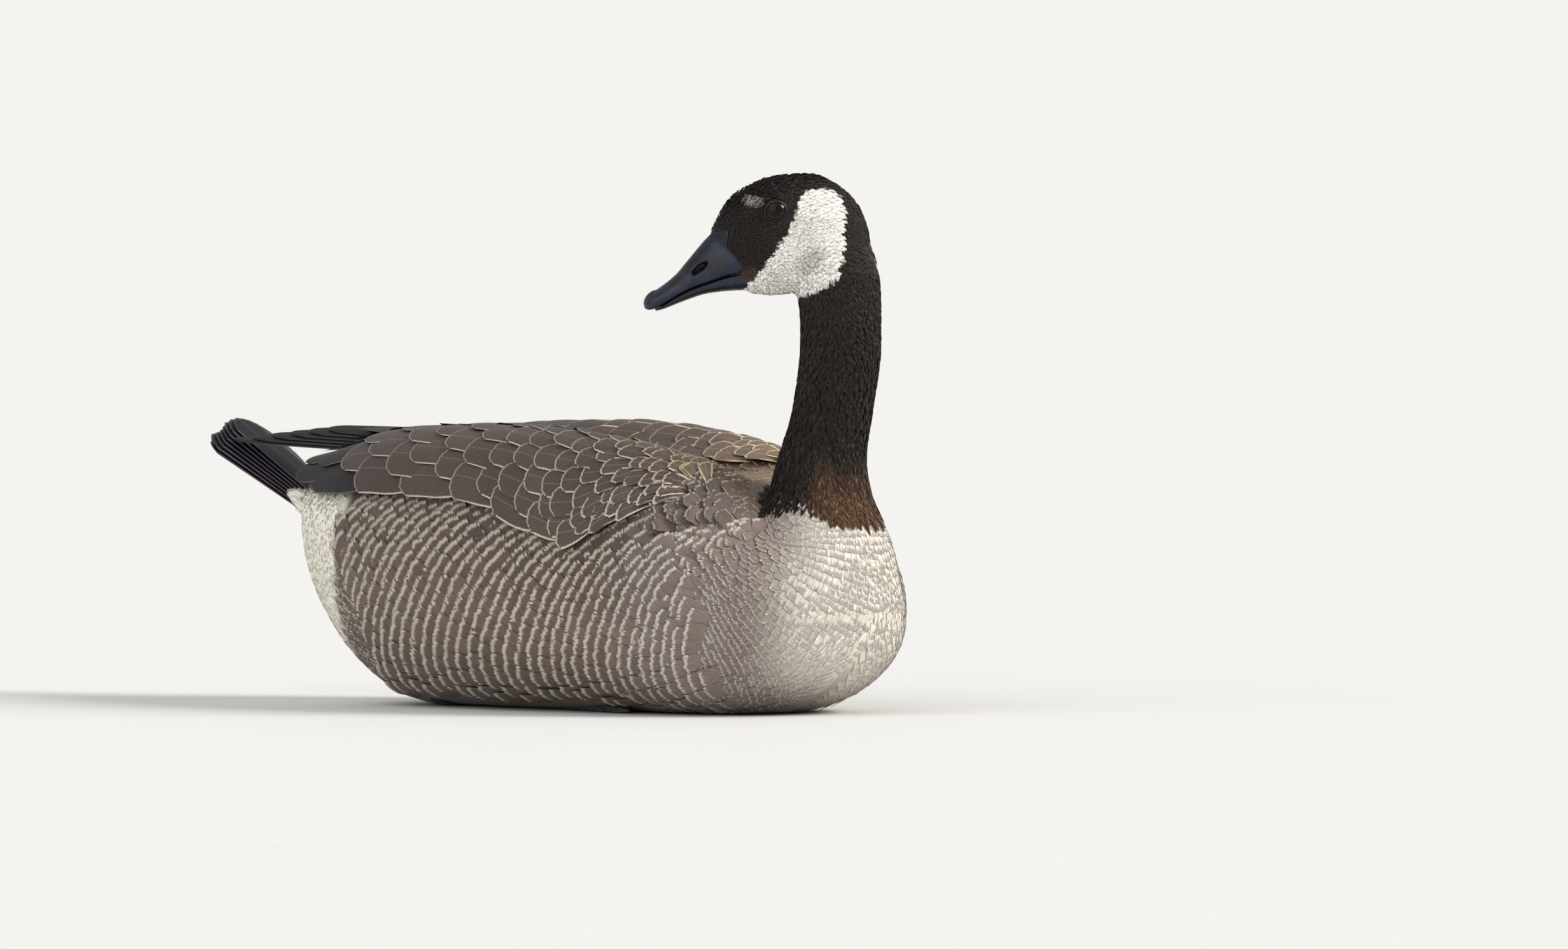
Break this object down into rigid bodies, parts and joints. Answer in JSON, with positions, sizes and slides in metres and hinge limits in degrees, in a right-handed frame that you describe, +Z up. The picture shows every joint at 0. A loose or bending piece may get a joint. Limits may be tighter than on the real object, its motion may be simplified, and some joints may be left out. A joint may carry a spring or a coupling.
{
  "type": "canada goose model",
  "caption": "Life-size goose resting on its belly, neck upright and head turned back over one shoulder, wings folded, tail cocked, feet tucked under.",
  "frame": {"origin": "on the floor under the middle of the trunk, at the flat of the belly", "axes": "+X towards the breast, +Y towards the bird's left, +Z up"},
  "size_m": [0.5033, 0.2012, 0.3032],
  "materials": {
    "body_plumage": "grey-brown feathers with pale fringes, cream white on the breast and under the tail",
    "black_plumage": "short brown-black feathers, white cheek patch",
    "wing_feathers": "dark grey-brown vanes with pale buff fringes",
    "tail_feathers": "black vanes with a faint blue sheen",
    "bill": "blue-black horn, satin gloss",
    "eye": "wet dark brown",
    "leg_skin": "black scaly skin"
  },
  "bodies": {
    "root": {"torso": "body_plumage", "neck": "black_plumage", "head": "black_plumage", "bill_upper": "bill", "bill_lower": "bill", "eye_left": "eye", "eye_right": "eye", "wing_left": "wing_feathers", "wing_right": "wing_feathers", "tail": "tail_feathers", "leg_left": "leg_skin", "leg_right": "leg_skin", "foot_left": "leg_skin", "foot_right": "leg_skin"}
  },
  "joints": []
}
